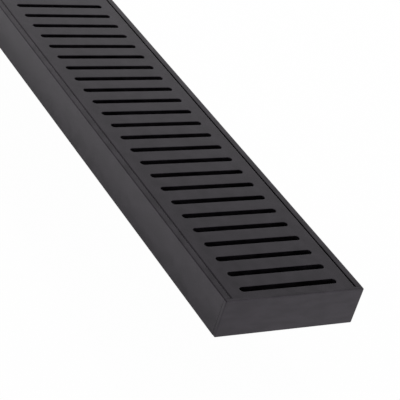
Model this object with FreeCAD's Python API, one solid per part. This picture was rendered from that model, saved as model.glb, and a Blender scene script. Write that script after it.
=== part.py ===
import FreeCAD, Part
import math
import os
from FreeCAD import Vector

# Linear floor drain: an extruded channel with a drop-in slotted grate, two end caps and a bottom outlet.
# Sizes are in millimetres. X runs along the drain, Y across it and Z up. The origin is on the outlet's
# axis, at the foot of the outlet's tail.

# Channel: one extruded length, open at the top, with a ledge inside each wall for the grate
channel_length = 900.0
channel_width = 100.0
channel_height = 26.5
wall = 2.0
floor_thickness = 2.0
rim_width = 4.6
rim_radius = 0.8
foot_radius = 0.5
inside_radius = 1.0
edge_break = 0.3
ledge_thickness = 2.0
seat_width = 4.9
bed_relief = 0.6
relief_margin = 1.0

# Grate: a flat plate with a row of slots, which rests on the ledges a little below the rims
grate_thickness = 4.0
grate_recess = 0.2
grate_side_gap = 0.5
grate_end_gap = 0.2
grate_edge_radius = 1.0
slot_length = 70.0
slot_width = 4.7
slot_pitch = 15.0
slot_edge = 0.3

# End caps: a plate across each cut end, with two lugs that push into the pockets under the ledges
cap_thickness = 2.5
cap_corner_radius = 0.9
cap_edge_radius = 0.7
lug_length = 12.0
lug_width = 3.0
lug_clearance = 0.15
lug_lead = 0.6

# End seals: a thin gasket between each cap and the channel's cut end, set back from the outside
seal_thickness = 0.2
seal_inset = 0.1

# Outlet: a flanged tail under the floor, with a gasket and pan-head screws put in from inside
tail_diameter = 50.0
tail_wall = 3.0
tail_drop = 40.0
tail_lead = 1.5
flange_thickness = 6.0
flange_fillet = 3.0
flange_edge_radius = 1.0
flange_border = 6.0
gasket_thickness = 1.5
gasket_bore_gap = 0.5
screw_count = 4
screw_offset = 9.0
screw_bite = 4.5
screw_shank_diameter = 3.5
screw_head_diameter = 7.0
screw_head_height = 2.4
screw_head_radius = 1.2
screw_tip_lead = 0.8
screw_hole_gap = 0.25
screw_pilot_gap = 0.05
screw_tip_gap = 0.5
drive_width = 1.0
drive_length = 4.0
drive_depth = 1.2

# Lengths below this are nothing
tiny = 1e-6

# Levels, from the tail's foot upwards
strip_z = tail_drop
floor_under_z = strip_z + bed_relief
floor_top_z = floor_under_z + floor_thickness
rim_top_z = strip_z + channel_height
grate_top_z = rim_top_z - grate_recess
ledge_top_z = grate_top_z - grate_thickness
ledge_under_z = ledge_top_z - ledge_thickness
flange_top_z = floor_under_z - gasket_thickness
flange_under_z = flange_top_z - flange_thickness

# Distances from the middle plane, across the drain
half_width = channel_width / 2
wall_inner = half_width - wall
rim_inner = half_width - rim_width
grate_half_width = rim_inner - grate_side_gap
ledge_tip = grate_half_width - seat_width

# Distances from the middle plane, along the drain
half_length = channel_length / 2
cap_inner = half_length + seal_thickness
cap_outer = cap_inner + cap_thickness
grate_half_length = cap_inner - grate_end_gap

# Radii about the outlet's axis
tail_radius = tail_diameter / 2
bore_radius = tail_radius - tail_wall
screw_circle_radius = bore_radius + screw_offset
flange_radius = screw_circle_radius + flange_border
relief_half_width = flange_radius + relief_margin
shank_radius = screw_shank_diameter / 2


def outline(corners):
    """A closed wire in the YZ plane through (y, z, radius) corners, each rounded by its radius."""
    joins = []
    for i, (y, z, radius) in enumerate(corners):
        here = Vector(0, y, z)
        if radius < tiny:
            joins.append((here, None, here))
            continue
        before = corners[i - 1]
        after = corners[(i + 1) % len(corners)]
        to_before = (Vector(0, before[0], before[1]) - here).normalize()
        to_after = (Vector(0, after[0], after[1]) - here).normalize()
        half_angle = to_before.getAngle(to_after) / 2
        setback = radius / math.tan(half_angle)
        inward = (to_before + to_after).normalize()
        middle = here + inward * (radius / math.sin(half_angle) - radius)
        joins.append((here + to_before * setback, middle, here + to_after * setback))
    edges = []
    for i, (start, middle, end) in enumerate(joins):
        if middle is not None:
            edges.append(Part.Arc(start, middle, end).toShape())
        next_start = joins[(i + 1) % len(joins)][0]
        if end.distanceToPoint(next_start) > tiny:
            edges.append(Part.LineSegment(end, next_start).toShape())
    return Part.Wire(edges)


def bar(corners, x_low, x_high):
    """A solid with one section all along X."""
    face = Part.Face(outline(corners))
    face.translate(Vector(x_low, 0, 0))
    return face.extrude(Vector(x_high - x_low, 0, 0))


def turned(corners):
    """A solid turned about the Z axis from (radius, z, rounding) corners."""
    return Part.Face(outline(corners)).revolve(Vector(0, 0, 0), Vector(0, 0, 1), 360)


def mirrored(corners):
    """Corners on the +Y side, followed by their mirror image on the -Y side."""
    return corners + [(-y, z, radius) for y, z, radius in reversed(corners)]


def at_both_ends(piece):
    """The piece at the +X end, and the same piece turned round to the -X end."""
    other = piece.copy()
    other.rotate(Vector(0, 0, 0), Vector(0, 0, 1), 180)
    return piece, other


def around_outlet(piece):
    """One copy of a piece on the outlet's axis at each screw's place."""
    copies = []
    for i in range(screw_count):
        angle = 2 * math.pi * (i + 0.5) / screw_count
        copy = piece.copy()
        copy.translate(Vector(math.cos(angle), math.sin(angle), 0) * screw_circle_radius)
        copies.append(copy)
    return copies


def channel_section(inset):
    """The channel's section, with its outside faces moved inwards by the inset."""
    outside = half_width - inset
    top = rim_top_z - inset
    return mirrored([
        (relief_half_width, floor_under_z, 0),
        (relief_half_width, strip_z + inset, 0),
        (outside, strip_z + inset, max(foot_radius - inset, 0)),
        (outside, top, max(rim_radius - inset, 0)),
        (rim_inner, top, edge_break),
        (rim_inner, ledge_top_z, 0),
        (ledge_tip, ledge_top_z, edge_break),
        (ledge_tip, ledge_under_z, edge_break),
        (wall_inner, ledge_under_z, inside_radius),
        (wall_inner, floor_top_z, inside_radius),
    ])


def make_channel():
    trough = bar(channel_section(0), -half_length, half_length)
    outlet_hole = Part.makeCylinder(bore_radius, floor_thickness, Vector(0, 0, floor_under_z))
    screw_hole_radius = shank_radius + screw_hole_gap
    screw_hole = Part.makeCylinder(screw_hole_radius, floor_thickness, Vector(0, 0, floor_under_z))
    return trough.cut([outlet_hole] + around_outlet(screw_hole))


def make_slot_cutter():
    """A round-ended slot across the drain, with a small chamfer where it meets the grate's top."""
    radius = slot_width / 2
    straight = slot_length - slot_width
    chamfer_z = grate_top_z - slot_edge
    flare_radius = radius + 2 * slot_edge
    flare_z = grate_top_z + slot_edge
    side = [(radius, ledge_top_z, 0), (radius, chamfer_z, 0), (flare_radius, flare_z, 0)]
    cutter = bar(mirrored(side), -straight / 2, straight / 2)
    for end_x in (-straight / 2, straight / 2):
        end = turned([(0, ledge_top_z, 0)] + side + [(0, flare_z, 0)])
        end.translate(Vector(end_x, 0, 0))
        cutter = cutter.fuse(end)
    cutter = cutter.removeSplitter()
    cutter.rotate(Vector(0, 0, 0), Vector(0, 0, 1), 90)
    return cutter


def make_grate():
    plate = bar(mirrored([
        (grate_half_width, ledge_top_z, edge_break),
        (grate_half_width, grate_top_z, grate_edge_radius),
    ]), -grate_half_length, grate_half_length)
    slot_count = int(2 * grate_half_length / slot_pitch + tiny)
    slot = make_slot_cutter()
    slots = []
    for i in range(slot_count):
        cutter = slot.copy()
        cutter.translate(Vector((i - (slot_count - 1) / 2) * slot_pitch, 0, 0))
        slots.append(cutter)
    return plate.cut(slots)


def make_lug():
    """The lug of the +X cap in the pocket under the +Y ledge, with an eased tip."""
    outside = wall_inner - lug_clearance
    inside = outside - lug_width
    bottom = floor_top_z + lug_clearance
    top = ledge_under_z - lug_clearance
    tip_x = half_length - lug_length
    lug = bar([
        (inside, bottom, inside_radius),
        (outside, bottom, inside_radius),
        (outside, top, inside_radius),
        (inside, top, inside_radius),
    ], tip_x, cap_inner)
    tip_edges = [edge for edge in lug.Edges if edge.BoundBox.XMax < tip_x + tiny]
    return lug.makeChamfer(lug_lead, tip_edges)


def make_end_caps():
    plate = bar(mirrored([
        (half_width, strip_z, cap_corner_radius),
        (half_width, rim_top_z, cap_corner_radius),
    ]), cap_inner, cap_outer)
    face_edges = [edge for edge in plate.Edges if edge.BoundBox.XMin > cap_outer - tiny]
    plate = plate.makeFillet(cap_edge_radius, face_edges)
    lug = make_lug()
    other_lug = lug.mirror(Vector(0, 0, 0), Vector(0, 1, 0))
    cap = plate.fuse([lug, other_lug]).removeSplitter()
    return at_both_ends(cap)


def make_end_seals():
    return at_both_ends(bar(channel_section(seal_inset), half_length, cap_inner))


def make_outlet_spigot():
    body = turned([
        (bore_radius, 0, 0),
        (tail_radius - tail_lead, 0, 0),
        (tail_radius, tail_lead, 0),
        (tail_radius, flange_under_z, flange_fillet),
        (flange_radius, flange_under_z, flange_edge_radius),
        (flange_radius, flange_top_z, flange_edge_radius),
        (bore_radius, flange_top_z, 0),
    ])
    pilot_depth = screw_bite + screw_tip_gap
    pilot_base = Vector(0, 0, flange_top_z - pilot_depth)
    pilot = Part.makeCylinder(shank_radius + screw_pilot_gap, pilot_depth, pilot_base)
    return body.cut(around_outlet(pilot))


def make_outlet_gasket():
    ring_inner = bore_radius + gasket_bore_gap
    ring = turned([
        (ring_inner, flange_top_z, 0),
        (flange_radius, flange_top_z, 0),
        (flange_radius, floor_under_z, 0),
        (ring_inner, floor_under_z, 0),
    ])
    hole_radius = shank_radius + screw_hole_gap
    hole = Part.makeCylinder(hole_radius, gasket_thickness, Vector(0, 0, flange_top_z))
    return ring.cut(around_outlet(hole))


def make_outlet_screws():
    """Pan-head screws with a cross drive. Their threads are left plain."""
    tip_z = flange_top_z - screw_bite
    head_top_z = floor_top_z + screw_head_height
    head_radius = screw_head_diameter / 2
    screw = turned([
        (0, tip_z, 0),
        (shank_radius - screw_tip_lead, tip_z, 0),
        (shank_radius, tip_z + screw_tip_lead, 0),
        (shank_radius, floor_top_z, 0),
        (head_radius, floor_top_z, 0),
        (head_radius, head_top_z, screw_head_radius),
        (0, head_top_z, 0),
    ])
    drive_corner = Vector(-drive_length / 2, -drive_width / 2, head_top_z - drive_depth)
    drive_slot = Part.makeBox(drive_length, drive_width, drive_depth, drive_corner)
    cross_slot = drive_slot.copy()
    cross_slot.rotate(Vector(0, 0, 0), Vector(0, 0, 1), 90)
    screw = screw.cut([drive_slot, cross_slot])
    return Part.makeCompound(around_outlet(screw))


end_cap_right, end_cap_left = make_end_caps()
end_seal_right, end_seal_left = make_end_seals()
pieces = {
    "channel": make_channel(),
    "grate": make_grate(),
    "end_cap_right": end_cap_right,
    "end_cap_left": end_cap_left,
    "end_seal_right": end_seal_right,
    "end_seal_left": end_seal_left,
    "outlet_spigot": make_outlet_spigot(),
    "outlet_gasket": make_outlet_gasket(),
    "outlet_screws": make_outlet_screws(),
}

os.makedirs("parts", exist_ok=True)
for node, shape in pieces.items():
    shape.exportStep(f"parts/{node}.step")
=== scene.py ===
import math

import bmesh
import bpy
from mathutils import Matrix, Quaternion, Vector


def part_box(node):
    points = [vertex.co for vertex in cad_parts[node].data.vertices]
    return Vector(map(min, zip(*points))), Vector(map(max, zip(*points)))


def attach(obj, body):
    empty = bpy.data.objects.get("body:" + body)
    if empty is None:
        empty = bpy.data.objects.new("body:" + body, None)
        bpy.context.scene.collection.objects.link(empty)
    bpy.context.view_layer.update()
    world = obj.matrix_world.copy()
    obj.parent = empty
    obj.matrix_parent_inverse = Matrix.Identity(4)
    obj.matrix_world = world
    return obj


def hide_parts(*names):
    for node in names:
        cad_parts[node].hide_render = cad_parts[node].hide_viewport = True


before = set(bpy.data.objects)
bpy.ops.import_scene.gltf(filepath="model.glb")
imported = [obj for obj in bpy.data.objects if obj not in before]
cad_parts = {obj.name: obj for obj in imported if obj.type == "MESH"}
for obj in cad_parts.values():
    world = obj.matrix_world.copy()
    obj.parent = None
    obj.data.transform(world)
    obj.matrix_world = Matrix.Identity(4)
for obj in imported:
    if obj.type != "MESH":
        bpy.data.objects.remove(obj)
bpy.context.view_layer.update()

# Channel
# One extruded length of aluminium, sawn square at both ends, with a flat rim along each side and a ledge
# inside each wall. The outlet's hole and its screw holes are drilled through the floor, and then the whole
# length is coated satin black.
mm = 0.001
channel_low, channel_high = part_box("channel")
grate_low, grate_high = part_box("grate")
spigot_low, spigot_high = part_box("outlet_spigot")
_, gasket_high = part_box("outlet_gasket")

wall_thickness = 2.0 * mm
floor_thickness = 2.0 * mm
ledge_thickness = 2.0 * mm
rim_width = 4.6 * mm
grate_bearing = 4.9 * mm
flange_play = 1.0 * mm
rim_round = 0.8 * mm
foot_round = 0.5 * mm
inside_round = 1.0 * mm
edge_round = 0.3 * mm
round_steps = 6
bore_radius = 22.0 * mm
bore_sides = 96
screw_hole_radius = 2.0 * mm
screw_hole_sides = 32
screw_circle_radius = bore_radius + 9.0 * mm
screw_count = 4
first_screw_turn = math.pi / screw_count
drill_length = 6.0 * mm
smooth_below = math.radians(35)
merge_distance = 0.001 * mm

half_width = channel_high.y
rim_top = channel_high.z
rim_inner = half_width - rim_width
wall_inner = half_width - wall_thickness
strip_under = channel_low.z
ledge_top = grate_low.z
ledge_under = ledge_top - ledge_thickness
ledge_tip = grate_high.y - grate_bearing
floor_under = gasket_high.z
floor_top = floor_under + floor_thickness
relief_half_width = spigot_high.x + flange_play

coat_dark = (0.0020, 0.0016, 0.0022)
coat_pale = (0.0172, 0.0148, 0.0182)
coat_tint = (0.95, 0.87, 1.0, 1)
coat_reflection = 0.9
coat_roughness = (0.17, 0.23)
coat_gloss_span = (0.3, 0.7)
brush_line_share = 0.2
drift_detail = 3.0
brush_detail = 4.0
peel_scale = 1500.0
peel_detail = 2.0
coat_bump = 0.05
coat_bump_depth = 0.01 * mm
lengthwise_drift = (85.0, 100.0, 150.0)
lengthwise_grain = (20.0, 2200.0, 2200.0)
channel_tone_span = (0.42, 0.58)


def add_node(tree, kind, links=None, **settings):
    """A node with its settings made, and each named input either linked to a socket or set to a value."""
    node = tree.nodes.new(kind)
    for name, value in settings.items():
        setattr(node, name, value)
    for name, value in (links or {}).items():
        if isinstance(value, bpy.types.NodeSocket):
            tree.links.new(value, node.inputs[name])
        else:
            node.inputs[name].default_value = value
    return node


def new_recipe(name, inputs):
    """An empty geometry tree with these named inputs, its input sockets and its output node."""
    tree = bpy.data.node_groups.new(name, "GeometryNodeTree")
    for label, kind in inputs:
        tree.interface.new_socket(label, in_out="INPUT", socket_type="NodeSocket" + kind)
    tree.interface.new_socket("Geometry", in_out="OUTPUT", socket_type="NodeSocketGeometry")
    return tree, tree.nodes.new("NodeGroupInput").outputs, tree.nodes.new("NodeGroupOutput")


def finish_recipe(tree, geometry, material, output):
    """Ends a tree: every copy made real, with its material."""
    real = add_node(tree, "GeometryNodeRealizeInstances", {"Geometry": geometry})
    coloured = add_node(tree, "GeometryNodeSetMaterial", {
        "Geometry": real.outputs[0], "Material": material})
    tree.links.new(coloured.outputs[0], output.inputs[0])


def make_from_recipe(name, tree, values):
    """A piece whose plain mesh is what the tree makes from these values."""
    piece = bpy.data.objects.new(name, bpy.data.meshes.new(name))
    bpy.context.scene.collection.objects.link(piece)
    recipe = piece.modifiers.new("recipe", "NODES")
    recipe.node_group = tree
    for item in tree.interface.items_tree:
        if item.in_out == "INPUT":
            recipe[item.identifier] = values[item.name]
    depsgraph = bpy.context.evaluated_depsgraph_get()
    mesh = bpy.data.meshes.new_from_object(piece.evaluated_get(depsgraph))
    piece.modifiers.remove(recipe)
    piece.data = mesh
    mesh.name = name
    return piece


def close_and_smooth(piece):
    """Merges the seams, points all faces outwards and shades the round stretches smooth."""
    form = bmesh.new()
    form.from_mesh(piece.data)
    bmesh.ops.remove_doubles(form, verts=form.verts, dist=merge_distance)
    bmesh.ops.recalc_face_normals(form, faces=form.faces)
    form.to_mesh(piece.data)
    form.free()
    piece.data.shade_smooth()
    piece.data.set_sharp_from_angle(angle=smooth_below)
    even = piece.modifiers.new("flats stay flat", "WEIGHTED_NORMAL")
    even.keep_sharp = True


def section_outline(name, corners):
    """A closed outline of (y, z, rounding) corners. Each point carries its rounding as its radius."""
    curve = bpy.data.curves.new(name, "CURVE")
    curve.dimensions = "2D"
    line = curve.splines.new("POLY")
    line.points.add(len(corners) - 1)
    for point, (y, z, rounding) in zip(line.points, corners):
        point.co = (y, z, 0, 1)
        point.radius = rounding
    line.use_cyclic_u = True
    return bpy.data.objects.new(name, curve)


def both_sides(corners):
    """Corners on the +Y side, followed by their mirror image on the -Y side."""
    return corners + [(-y, z, rounding) for y, z, rounding in reversed(corners)]


def new_finish(name):
    """A new material, its tree, its shader's inputs and the place on the piece that its patterns read."""
    material = bpy.data.materials.new(name)
    material.use_nodes = True
    tree = material.node_tree
    place = add_node(tree, "ShaderNodeTexCoord").outputs["Object"]
    return material, tree, tree.nodes["Principled BSDF"].inputs, place


def stretch(tree, place, scale):
    """A place scaled along x, y and z, which makes a pattern finer or longer that way."""
    return add_node(tree, "ShaderNodeMapping", {"Vector": place, "Scale": scale}).outputs[0]


def noise(tree, place, detail, scale=1.0):
    """Cloudy noise between 0 and 1."""
    clouds = add_node(tree, "ShaderNodeTexNoise", {"Vector": place, "Scale": scale, "Detail": detail})
    return clouds.outputs["Fac"]


def tone_ramp(tree, value, span, dark, pale):
    """A colour that goes from dark to pale while a value crosses a span."""
    ramp = add_node(tree, "ShaderNodeValToRGB", {"Fac": value})
    for element, position, colour in zip(ramp.color_ramp.elements, span, (dark, pale)):
        element.position = position
        element.color = (*colour, 1)
    return ramp.outputs["Color"]


def spread(tree, value, ends, span=(0.0, 1.0)):
    """A number that goes from the first end to the last while a value crosses a span."""
    ranged = add_node(tree, "ShaderNodeMapRange", {
        "Value": value, "From Min": span[0], "From Max": span[1], "To Min": ends[0], "To Max": ends[1]})
    return ranged.outputs["Result"]


def relief(tree, height, strength, depth):
    """A bump node for this height."""
    return add_node(tree, "ShaderNodeBump", {"Height": height, "Strength": strength, "Distance": depth})


def link_finish(tree, shader, colour, roughness, bumps):
    """Gives a shader its colour, its roughness and its relief."""
    tree.links.new(colour, shader["Base Color"])
    tree.links.new(roughness, shader["Roughness"])
    tree.links.new(bumps.outputs[0], shader["Normal"])


def coated_metal(name, drift, grain, tone_span):
    """Satin black coat over brushed aluminium. Drift and grain say how often its broad tones and its brush
    lines change along x, y and z. A narrow tone span makes the tones stronger."""
    material, tree, shader, place = new_finish(name)
    shader["Specular IOR Level"].default_value = coat_reflection
    shader["Specular Tint"].default_value = coat_tint
    drifts = noise(tree, stretch(tree, place, drift), drift_detail)
    brushing = noise(tree, stretch(tree, place, grain), brush_detail)
    mixed = add_node(tree, "ShaderNodeMix", {"Factor": brush_line_share, "A": drifts, "B": brushing})
    tones = mixed.outputs[0]
    colour = tone_ramp(tree, tones, tone_span, coat_dark, coat_pale)
    roughness = spread(tree, tones, coat_roughness, coat_gloss_span)
    lines = relief(tree, brushing, coat_bump, coat_bump_depth)
    skin = relief(tree, noise(tree, place, peel_detail, peel_scale), coat_bump, coat_bump_depth)
    tree.links.new(lines.outputs[0], skin.inputs["Normal"])
    link_finish(tree, shader, colour, roughness, skin)
    return material


channel_coat = coated_metal("coat_on_channel", lengthwise_drift, lengthwise_grain, channel_tone_span)

channel_section = section_outline("channel_section", both_sides([
    (relief_half_width, floor_under, 0),
    (relief_half_width, strip_under, 0),
    (half_width, strip_under, foot_round),
    (half_width, rim_top, rim_round),
    (rim_inner, rim_top, edge_round),
    (rim_inner, ledge_top, 0),
    (ledge_tip, ledge_top, edge_round),
    (ledge_tip, ledge_under, edge_round),
    (wall_inner, ledge_under, inside_round),
    (wall_inner, floor_top, inside_round),
]))

extrusion, sizes, result = new_recipe("drilled_extrusion", [
    ("Section", "Object"),
    ("Rounding steps", "Int"),
    ("Start", "Vector"),
    ("End", "Vector"),
    ("Drilled place", "Vector"),
    ("Drill length", "Float"),
    ("Outlet radius", "Float"),
    ("Screw hole radius", "Float"),
    ("Screw circle radius", "Float"),
    ("Screw count", "Int"),
    ("First turn", "Vector"),
    ("Coat", "Material"),
])
outline = add_node(extrusion, "GeometryNodeObjectInfo", {"Object": sizes["Section"]})
roundings = add_node(extrusion, "GeometryNodeInputRadius")
rounded = add_node(extrusion, "GeometryNodeFilletCurve", {
    "Curve": outline.outputs["Geometry"], "Radius": roundings.outputs[0],
    "Count": sizes["Rounding steps"]}, mode="POLY")
run = add_node(extrusion, "GeometryNodeCurvePrimitiveLine", {
    "Start": sizes["Start"], "End": sizes["End"]})
swept = add_node(extrusion, "GeometryNodeCurveToMesh", {
    "Curve": run.outputs[0], "Profile Curve": rounded.outputs[0], "Fill Caps": True})
# A sweep lays the outline upside down, so it is turned over about its own length.
upright = add_node(extrusion, "GeometryNodeTransform", {
    "Geometry": swept.outputs[0], "Rotation": (math.pi, 0, 0)})
outlet_drill = add_node(extrusion, "GeometryNodeMeshCylinder", {
    "Vertices": bore_sides, "Radius": sizes["Outlet radius"], "Depth": sizes["Drill length"]})
screw_drill = add_node(extrusion, "GeometryNodeMeshCylinder", {
    "Vertices": screw_hole_sides, "Radius": sizes["Screw hole radius"], "Depth": sizes["Drill length"]})
screw_circle = add_node(extrusion, "GeometryNodeMeshCircle", {
    "Vertices": sizes["Screw count"], "Radius": sizes["Screw circle radius"]})
screw_places = add_node(extrusion, "GeometryNodeTransform", {
    "Geometry": screw_circle.outputs[0], "Rotation": sizes["First turn"]})
screw_drills = add_node(extrusion, "GeometryNodeInstanceOnPoints", {
    "Points": screw_places.outputs[0], "Instance": screw_drill.outputs["Mesh"]})
all_drills = add_node(extrusion, "GeometryNodeJoinGeometry")
extrusion.links.new(outlet_drill.outputs["Mesh"], all_drills.inputs[0])
extrusion.links.new(screw_drills.outputs[0], all_drills.inputs[0])
placed_drills = add_node(extrusion, "GeometryNodeTransform", {
    "Geometry": all_drills.outputs[0], "Translation": sizes["Drilled place"]})
real_drills = add_node(extrusion, "GeometryNodeRealizeInstances", {"Geometry": placed_drills.outputs[0]})
drilled = add_node(extrusion, "GeometryNodeMeshBoolean", {
    "Mesh 1": upright.outputs[0], "Mesh 2": real_drills.outputs[0]}, operation="DIFFERENCE")
finish_recipe(extrusion, drilled.outputs[0], sizes["Coat"], result)

channel = make_from_recipe("drilled_channel", extrusion, {
    "Section": channel_section,
    "Rounding steps": round_steps,
    "Start": (channel_low.x, 0, 0),
    "End": (channel_high.x, 0, 0),
    "Drilled place": (0, 0, (floor_under + floor_top) / 2),
    "Drill length": drill_length,
    "Outlet radius": bore_radius,
    "Screw hole radius": screw_hole_radius,
    "Screw circle radius": screw_circle_radius,
    "Screw count": screw_count,
    "First turn": (0, 0, first_screw_turn),
    "Coat": channel_coat,
})
close_and_smooth(channel)
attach(channel, "root")
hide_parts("channel")

# End seals
# A thin sheet of black rubber cut to the channel's section and squeezed between each cut end and its cap.
# Only its edge shows, as the dark seam just behind the cap.
rubber_dark = (0.006, 0.006, 0.006)
rubber_dusty = (0.016, 0.016, 0.016)
rubber_reflection = 0.8
rubber_roughness = (0.38, 0.5)
dust_span = (0.35, 0.75)
dust_scale = 420.0
dust_detail = 5.0
rubber_grain_scale = 1800.0
rubber_grain_detail = 2.0
rubber_bump = 0.4
rubber_bump_depth = 0.03 * mm


def soft_rubber(name):
    """Matt black rubber with a dusty, slightly uneven surface."""
    material, tree, shader, place = new_finish(name)
    shader["Specular IOR Level"].default_value = rubber_reflection
    dust = noise(tree, place, dust_detail, dust_scale)
    grain = noise(tree, place, rubber_grain_detail, rubber_grain_scale)
    link_finish(tree, shader, tone_ramp(tree, dust, dust_span, rubber_dark, rubber_dusty),
                spread(tree, dust, rubber_roughness), relief(tree, grain, rubber_bump, rubber_bump_depth))
    return material


seal_rubber = soft_rubber("seal_rubber_sheet")
for node in ("end_seal_right", "end_seal_left"):
    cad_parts[node].data.materials[0] = seal_rubber

# End caps
# A flat plate that closes each end, with softly rounded edges and two lugs pushed into the pockets under the
# ledges. It is aluminium with the same coat, and was brushed across before it was coated.
crosswise_drift = (230.0, 70.0, 230.0)
crosswise_grain = (2200.0, 20.0, 2200.0)
cap_tone_span = (0.4, 0.6)
cap_coat = coated_metal("coat_on_caps", crosswise_drift, crosswise_grain, cap_tone_span)
for node in ("end_cap_right", "end_cap_left"):
    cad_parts[node].data.materials[0] = cap_coat

# Outlet gasket
# A flat ring with four screw holes, cut from the same rubber sheet. It is clamped between the channel's floor
# and the outlet's flange, and keeps that joint tight.
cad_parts["outlet_gasket"].data.materials[0] = seal_rubber

# Outlet spigot
# A moulded black plastic tail with a flange, which goes into the waste pipe. It hangs from the channel's
# floor by its screws.
plastic_dark = (0.022, 0.022, 0.023)
plastic_pale = (0.034, 0.034, 0.035)
plastic_reflection = 0.45
plastic_roughness = (0.42, 0.58)
flow_span = (0.3, 0.75)
flow_scale = (140.0, 140.0, 18.0)
flow_detail = 3.0
spark_scale = 1600.0
spark_bump = 0.25
spark_bump_depth = 0.04 * mm


def moulded_plastic(name):
    """Black moulded plastic with the fine spark texture of its mould and faint flow marks down the tail."""
    material, tree, shader, place = new_finish(name)
    shader["Specular IOR Level"].default_value = plastic_reflection
    flow = noise(tree, stretch(tree, place, flow_scale), flow_detail)
    spark = add_node(tree, "ShaderNodeTexVoronoi", {"Vector": place, "Scale": spark_scale})
    link_finish(tree, shader, tone_ramp(tree, flow, flow_span, plastic_dark, plastic_pale),
                spread(tree, flow, plastic_roughness),
                relief(tree, spark.outputs["Distance"], spark_bump, spark_bump_depth))
    return material


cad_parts["outlet_spigot"].data.materials[0] = moulded_plastic("outlet_plastic_moulded")

# Outlet screws
# Four steel pan-head screws with a cross drive, put in from inside the channel. They cut their thread into
# the outlet's flange.
screws_low, screws_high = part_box("outlet_screws")
screw_head_radius = 3.5 * mm
screw_head_round = 1.2 * mm
thread_crest = 1.75 * mm
thread_core = 1.35 * mm
thread_pitch = 1.3 * mm
tip_radius = 0.95 * mm
thread_sides = 32
thread_rings = 60
drive_size = (4.0 * mm, 1.0 * mm, 2.4 * mm)
# The drive's second bar is a little shallower, because two bars that end level leave doubled faces.
second_bar_scale = (1, 1, 0.95)

zinc_dull = (0.44, 0.43, 0.40)
zinc_bright = (0.62, 0.61, 0.59)
zinc_roughness = (0.25, 0.5)
zinc_cloud_span = (0.3, 0.7)
zinc_cloud_scale = 700.0
zinc_cloud_detail = 4.0
turning_scale = (300.0, 300.0, 6000.0)
turning_detail = 2.0
turning_bump = 0.2
turning_bump_depth = 0.02 * mm


def zinc_steel(name):
    """Bright zinc plating over steel, clouded where it was handled, with fine turning marks."""
    material, tree, shader, place = new_finish(name)
    shader["Metallic"].default_value = 1.0
    clouds = noise(tree, place, zinc_cloud_detail, zinc_cloud_scale)
    turning = noise(tree, stretch(tree, place, turning_scale), turning_detail)
    link_finish(tree, shader, tone_ramp(tree, clouds, zinc_cloud_span, zinc_dull, zinc_bright),
                spread(tree, clouds, zinc_roughness), relief(tree, turning, turning_bump, turning_bump_depth))
    return material


def loose_part(name, form):
    """An object with this form as its mesh. It shows only once it is linked into the scene."""
    mesh = bpy.data.meshes.new(name)
    form.to_mesh(mesh)
    form.free()
    return bpy.data.objects.new(name, mesh)


def thread_radius(z, turn):
    """The thread's radius: a ridge that climbs one pitch in each turn, and thins out at the tip."""
    along = ((z - screws_low.z) / thread_pitch - turn / (2 * math.pi)) % 1
    ridge = thread_core + (thread_crest - thread_core) * (1 - abs(2 * along - 1))
    return min(ridge, tip_radius + z - screws_low.z)


def screw_blank():
    """One screw on the Z axis without its drive: thread, flat seat and rounded head."""
    form = bmesh.new()
    turns = [2 * math.pi * side / thread_sides for side in range(thread_sides)]
    thread_length = floor_top - screws_low.z
    levels = [screws_low.z + thread_length * ring / thread_rings for ring in range(thread_rings + 1)]
    rows = [[(thread_radius(z, turn), z) for turn in turns] for z in levels]
    head = [(screw_head_radius, floor_top)]
    for step in range(round_steps + 1):
        bend = math.pi / 2 * step / round_steps
        head.append((screw_head_radius - screw_head_round * (1 - math.cos(bend)),
                     screws_high.z - screw_head_round * (1 - math.sin(bend))))
    rows += [[point] * thread_sides for point in head]
    rings = [[form.verts.new((radius * math.cos(turn), radius * math.sin(turn), z))
              for (radius, z), turn in zip(row, turns)] for row in rows]
    for ring, next_ring in zip(rings, rings[1:]):
        for side in range(thread_sides):
            form.faces.new((ring[side - 1], ring[side], next_ring[side], next_ring[side - 1]))
    form.faces.new(reversed(rings[0]))
    form.faces.new(rings[-1])
    return form


screwing, sizes, result = new_recipe("screws_on_a_circle", [
    ("Screw", "Object"),
    ("Drive size", "Vector"),
    ("Second bar scale", "Vector"),
    ("Head top", "Vector"),
    ("Screw count", "Int"),
    ("Screw circle radius", "Float"),
    ("First turn", "Vector"),
    ("Steel", "Material"),
])
blank = add_node(screwing, "GeometryNodeObjectInfo", {"Object": sizes["Screw"]})
drive_bar = add_node(screwing, "GeometryNodeMeshCube", {"Size": sizes["Drive size"]})
drive_along = add_node(screwing, "GeometryNodeTransform", {
    "Geometry": drive_bar.outputs["Mesh"], "Translation": sizes["Head top"]})
drive_across = add_node(screwing, "GeometryNodeTransform", {
    "Geometry": drive_bar.outputs["Mesh"], "Translation": sizes["Head top"],
    "Rotation": (0, 0, math.pi / 2), "Scale": sizes["Second bar scale"]})
driven = add_node(screwing, "GeometryNodeMeshBoolean", {
    "Mesh 1": blank.outputs["Geometry"], "Mesh 2": drive_along.outputs[0]}, operation="DIFFERENCE")
screwing.links.new(drive_across.outputs[0], driven.inputs["Mesh 2"])
circle = add_node(screwing, "GeometryNodeMeshCircle", {
    "Vertices": sizes["Screw count"], "Radius": sizes["Screw circle radius"]})
turned_circle = add_node(screwing, "GeometryNodeTransform", {
    "Geometry": circle.outputs[0], "Rotation": sizes["First turn"]})
placed_screws = add_node(screwing, "GeometryNodeInstanceOnPoints", {
    "Points": turned_circle.outputs[0], "Instance": driven.outputs[0]})
finish_recipe(screwing, placed_screws.outputs[0], sizes["Steel"], result)

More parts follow.
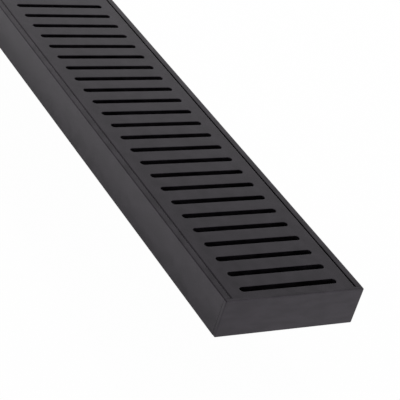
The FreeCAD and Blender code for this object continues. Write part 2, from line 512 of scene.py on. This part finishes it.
screws = make_from_recipe("threaded_screws", screwing, {
    "Screw": loose_part("screw_blank", screw_blank()),
    "Drive size": drive_size,
    "Second bar scale": second_bar_scale,
    "Head top": (0, 0, screws_high.z),
    "Screw count": screw_count,
    "Screw circle radius": screw_circle_radius,
    "First turn": (0, 0, first_screw_turn),
    "Steel": zinc_steel("screw_steel_zinc"),
})
close_and_smooth(screws)
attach(screws, "root")
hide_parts("outlet_screws")

# Grate
# A flat aluminium plate milled with a row of round-ended slots and coated like the channel. It drops in and
# rests loose on the two ledges.
slot_length = 70.0 * mm
slot_width = 4.7 * mm
slot_pitch = 15.0 * mm
slot_lip = 0.3 * mm
plate_lip = 1.0 * mm
under_lip = 0.3 * mm
lip_steps = 4
slot_end_steps = 16
weld_distance = 0.01 * mm
grate_tone_span = (0.3, 0.7)

plate_top = grate_high.z
plate_under = grate_low.z
plate_half_width = grate_high.y
plate_length = grate_high.x - grate_low.x
slot_count = round(plate_length / slot_pitch)


def lip_points(lip):
    """(how far out, how far down) along a quarter round, from the flat face to the upright wall."""
    turns = [step * math.pi / 2 / lip_steps for step in range(lip_steps + 1)]
    return [(lip * (1 - math.sin(turn)), lip * (1 - math.cos(turn))) for turn in turns]


def slot_ring(form, out, z):
    """The slot's outline, moved outwards, at a height. It starts on the +X side of the +Y end."""
    straight = (slot_length - slot_width) / 2
    radius = slot_width / 2 + out
    ring = []
    for end_y, first in ((straight, 0), (-straight, math.pi)):
        for step in range(slot_end_steps + 1):
            turn = first + math.pi * step / slot_end_steps
            ring.append(form.verts.new((radius * math.cos(turn), end_y + radius * math.sin(turn), z)))
    return ring


def plate_side():
    """(y, z) down the plate's +Y edge, from its top face to its underside."""
    upper = [(plate_half_width - out, plate_top - down) for out, down in lip_points(plate_lip)]
    lower = [(plate_half_width - out, plate_under + down) for out, down in reversed(lip_points(under_lip))]
    return upper + lower


def slot_bay(side):
    """One pitch of the plate with its slot, open where it joins the next bay."""
    form = bmesh.new()
    upper = [(out, plate_top - down) for out, down in lip_points(slot_lip)]
    lower = [(out, plate_under + down) for out, down in reversed(lip_points(under_lip))]
    rings = [slot_ring(form, out, z) for out, z in upper + lower]
    for ring, next_ring in zip(rings, rings[1:]):
        for i in range(len(ring)):
            form.faces.new((ring[i], ring[i - 1], next_ring[i - 1], next_ring[i]))

    stations = (-slot_pitch / 2, 0, slot_pitch / 2)
    rails = {}
    for way in (1, -1):
        rails[way] = [[form.verts.new((x, way * y, z)) for y, z in side] for x in stations]
        for rail, next_rail in zip(rails[way], rails[way][1:]):
            for i in range(len(side) - 1):
                form.faces.new((rail[i], rail[i + 1], next_rail[i + 1], next_rail[i]))

    tip = slot_end_steps // 2
    far_tip = slot_end_steps + 1 + tip
    for ring, end in ((rings[0], 0), (rings[-1], -1)):
        front = ring[far_tip:] + ring[:tip + 1]
        back = ring[tip:far_tip + 1]
        form.faces.new(front + [rails[1][1][end], rails[1][2][end], rails[-1][2][end], rails[-1][1][end]])
        form.faces.new(back + [rails[-1][1][end], rails[-1][0][end], rails[1][0][end], rails[1][1][end]])
    return form


def plate_end(side):
    """The flat face that closes an end of the plate."""
    form = bmesh.new()
    form.faces.new([form.verts.new((0, way * y, z))
                    for way, edge in ((1, side), (-1, side[::-1])) for y, z in edge])
    return form


slotting, sizes, result = new_recipe("slotted_plate", [
    ("Bay", "Object"),
    ("End", "Object"),
    ("Slot count", "Int"),
    ("First slot", "Vector"),
    ("Slot pitch", "Vector"),
    ("First end", "Vector"),
    ("Length", "Vector"),
    ("Weld distance", "Float"),
    ("Coat", "Material"),
])
bay = add_node(slotting, "GeometryNodeObjectInfo", {"Object": sizes["Bay"]})
bay_places = add_node(slotting, "GeometryNodeMeshLine", {
    "Count": sizes["Slot count"], "Start Location": sizes["First slot"], "Offset": sizes["Slot pitch"]})
bays = add_node(slotting, "GeometryNodeInstanceOnPoints", {
    "Points": bay_places.outputs[0], "Instance": bay.outputs["Geometry"]})
end = add_node(slotting, "GeometryNodeObjectInfo", {"Object": sizes["End"]})
end_places = add_node(slotting, "GeometryNodeMeshLine", {
    "Count": 2, "Start Location": sizes["First end"], "Offset": sizes["Length"]})
ends = add_node(slotting, "GeometryNodeInstanceOnPoints", {
    "Points": end_places.outputs[0], "Instance": end.outputs["Geometry"]})
plate = add_node(slotting, "GeometryNodeJoinGeometry")
slotting.links.new(bays.outputs[0], plate.inputs[0])
slotting.links.new(ends.outputs[0], plate.inputs[0])
one_plate = add_node(slotting, "GeometryNodeRealizeInstances", {"Geometry": plate.outputs[0]})
welded = add_node(slotting, "GeometryNodeMergeByDistance", {
    "Geometry": one_plate.outputs[0], "Distance": sizes["Weld distance"]})
finish_recipe(slotting, welded.outputs[0], sizes["Coat"], result)

grate = make_from_recipe("slotted_grate", slotting, {
    "Bay": loose_part("grate_bay", slot_bay(plate_side())),
    "End": loose_part("grate_end", plate_end(plate_side())),
    "Slot count": slot_count,
    "First slot": (grate_low.x + slot_pitch / 2, 0, 0),
    "Slot pitch": (slot_pitch, 0, 0),
    "First end": (grate_low.x, 0, 0),
    "Length": (plate_length, 0, 0),
    "Weld distance": weld_distance,
    "Coat": coated_metal("coat_on_grate", lengthwise_drift, lengthwise_grain, grate_tone_span),
})
close_and_smooth(grate)
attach(grate, "root")
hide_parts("grate")

# Floor, light and camera
# A plain white floor at the tail's foot, under a sky that is lighter towards the horizon and has two soft
# patches: one overhead, and one high up behind the drain, where a soft lamp stands too. The camera is where
# the picture was taken from.
white = (1, 1, 1, 1)
floor_half = 20.0
floor_white = 0.80
floor_bare_when_seen = 0.985
floor_bare_when_mirrored = 0.1
ceiling_light = 0.10
ceiling_from = 0.8
horizon_light = 0.84
overhead_light = 0.16
overhead_edge = 0.78
overhead_full_from = 0.92
window_light = 0.39
window_toward = Vector((0.27, 0.53, 0.75)).normalized()
window_edge = 0.70
window_full_from = 0.95
lamp_place = Vector((-0.22, 0.70, 1.10))
lamp_side = 0.2
lamp_power = 9.0
eye = Vector((1046.2, -543.8, 575.2)) * mm
aim = Vector((351.4, -13.4, 66.1)) * mm
tip_to_side = math.radians(17.73)
lens = 144.1
sensor_width = 36.0

floor_form = bmesh.new()
floor_form.faces.new([floor_form.verts.new((x * floor_half, y * floor_half, spigot_low.z))
                      for x, y in ((-1, -1), (1, -1), (1, 1), (-1, 1))])
floor = loose_part("studio_floor", floor_form)
bpy.context.scene.collection.objects.link(floor)
floor_paint = bpy.data.materials.new("floor_white")
floor_paint.use_nodes = True
floor_tree = floor_paint.node_tree
floor_tree.nodes.clear()
matt_white = add_node(floor_tree, "ShaderNodeBsdfDiffuse", {
    "Color": (floor_white, floor_white, floor_white, 1)})
bare_white = add_node(floor_tree, "ShaderNodeEmission", {"Color": white, "Strength": 1.0})
path = add_node(floor_tree, "ShaderNodeLightPath")
mirrored = add_node(floor_tree, "ShaderNodeMath", {
    0: path.outputs["Is Glossy Ray"], 1: path.outputs["Is Transmission Ray"]}, operation="MAXIMUM")
bare_in_mirror = add_node(floor_tree, "ShaderNodeMath", {
    0: mirrored.outputs[0], 1: floor_bare_when_mirrored}, operation="MULTIPLY")
share = add_node(floor_tree, "ShaderNodeMath", {
    0: path.outputs["Is Camera Ray"], 1: floor_bare_when_seen, 2: bare_in_mirror.outputs[0]},
    operation="MULTIPLY_ADD")
paint = add_node(floor_tree, "ShaderNodeMixShader", {
    0: share.outputs[0], 1: matt_white.outputs[0], 2: bare_white.outputs[0]})
add_node(floor_tree, "ShaderNodeOutputMaterial", {"Surface": paint.outputs[0]})
floor.data.materials.append(floor_paint)

world = bpy.data.worlds.new("studio")
world.use_nodes = True
sky = world.node_tree
heading = add_node(sky, "ShaderNodeTexCoord").outputs["Generated"]
height = add_node(sky, "ShaderNodeSeparateXYZ", {"Vector": heading}).outputs["Z"]
toward = add_node(sky, "ShaderNodeVectorMath", {0: heading, 1: window_toward}, operation="DOT_PRODUCT")
glow = spread(sky, height, (horizon_light, ceiling_light), (0.0, ceiling_from))
window = spread(sky, toward.outputs["Value"], (0.0, window_light), (window_edge, window_full_from))
overhead = spread(sky, height, (0.0, overhead_light), (overhead_edge, overhead_full_from))
patches = add_node(sky, "ShaderNodeMath", {0: window, 1: overhead}, operation="ADD")
light = add_node(sky, "ShaderNodeMath", {0: glow, 1: patches.outputs[0]}, operation="ADD")
sky.links.new(light.outputs[0], sky.nodes["Background"].inputs["Strength"])
sky.nodes["Background"].inputs["Color"].default_value = white
bpy.context.scene.world = world

lamp_light = bpy.data.lights.new("soft_lamp", "AREA")
lamp_light.size = lamp_side
lamp_light.energy = lamp_power
lamp = bpy.data.objects.new("soft_lamp", lamp_light)
lamp.location = lamp_place
lamp.visible_glossy = False
lamp.rotation_mode = "QUATERNION"
lamp.rotation_quaternion = (-lamp_place).to_track_quat("-Z", "Y")
bpy.context.scene.collection.objects.link(lamp)

camera_data = bpy.data.cameras.new("camera")
camera_data.lens = lens
camera_data.sensor_width = sensor_width
camera = bpy.data.objects.new("camera", camera_data)
camera.rotation_mode = "QUATERNION"
camera.location = eye
camera.rotation_quaternion = (aim - eye).to_track_quat("-Z", "Y") @ Quaternion((0, 0, 1), tip_to_side)
bpy.context.scene.collection.objects.link(camera)
bpy.context.scene.camera = camera
bpy.context.scene.view_settings.view_transform = "Standard"
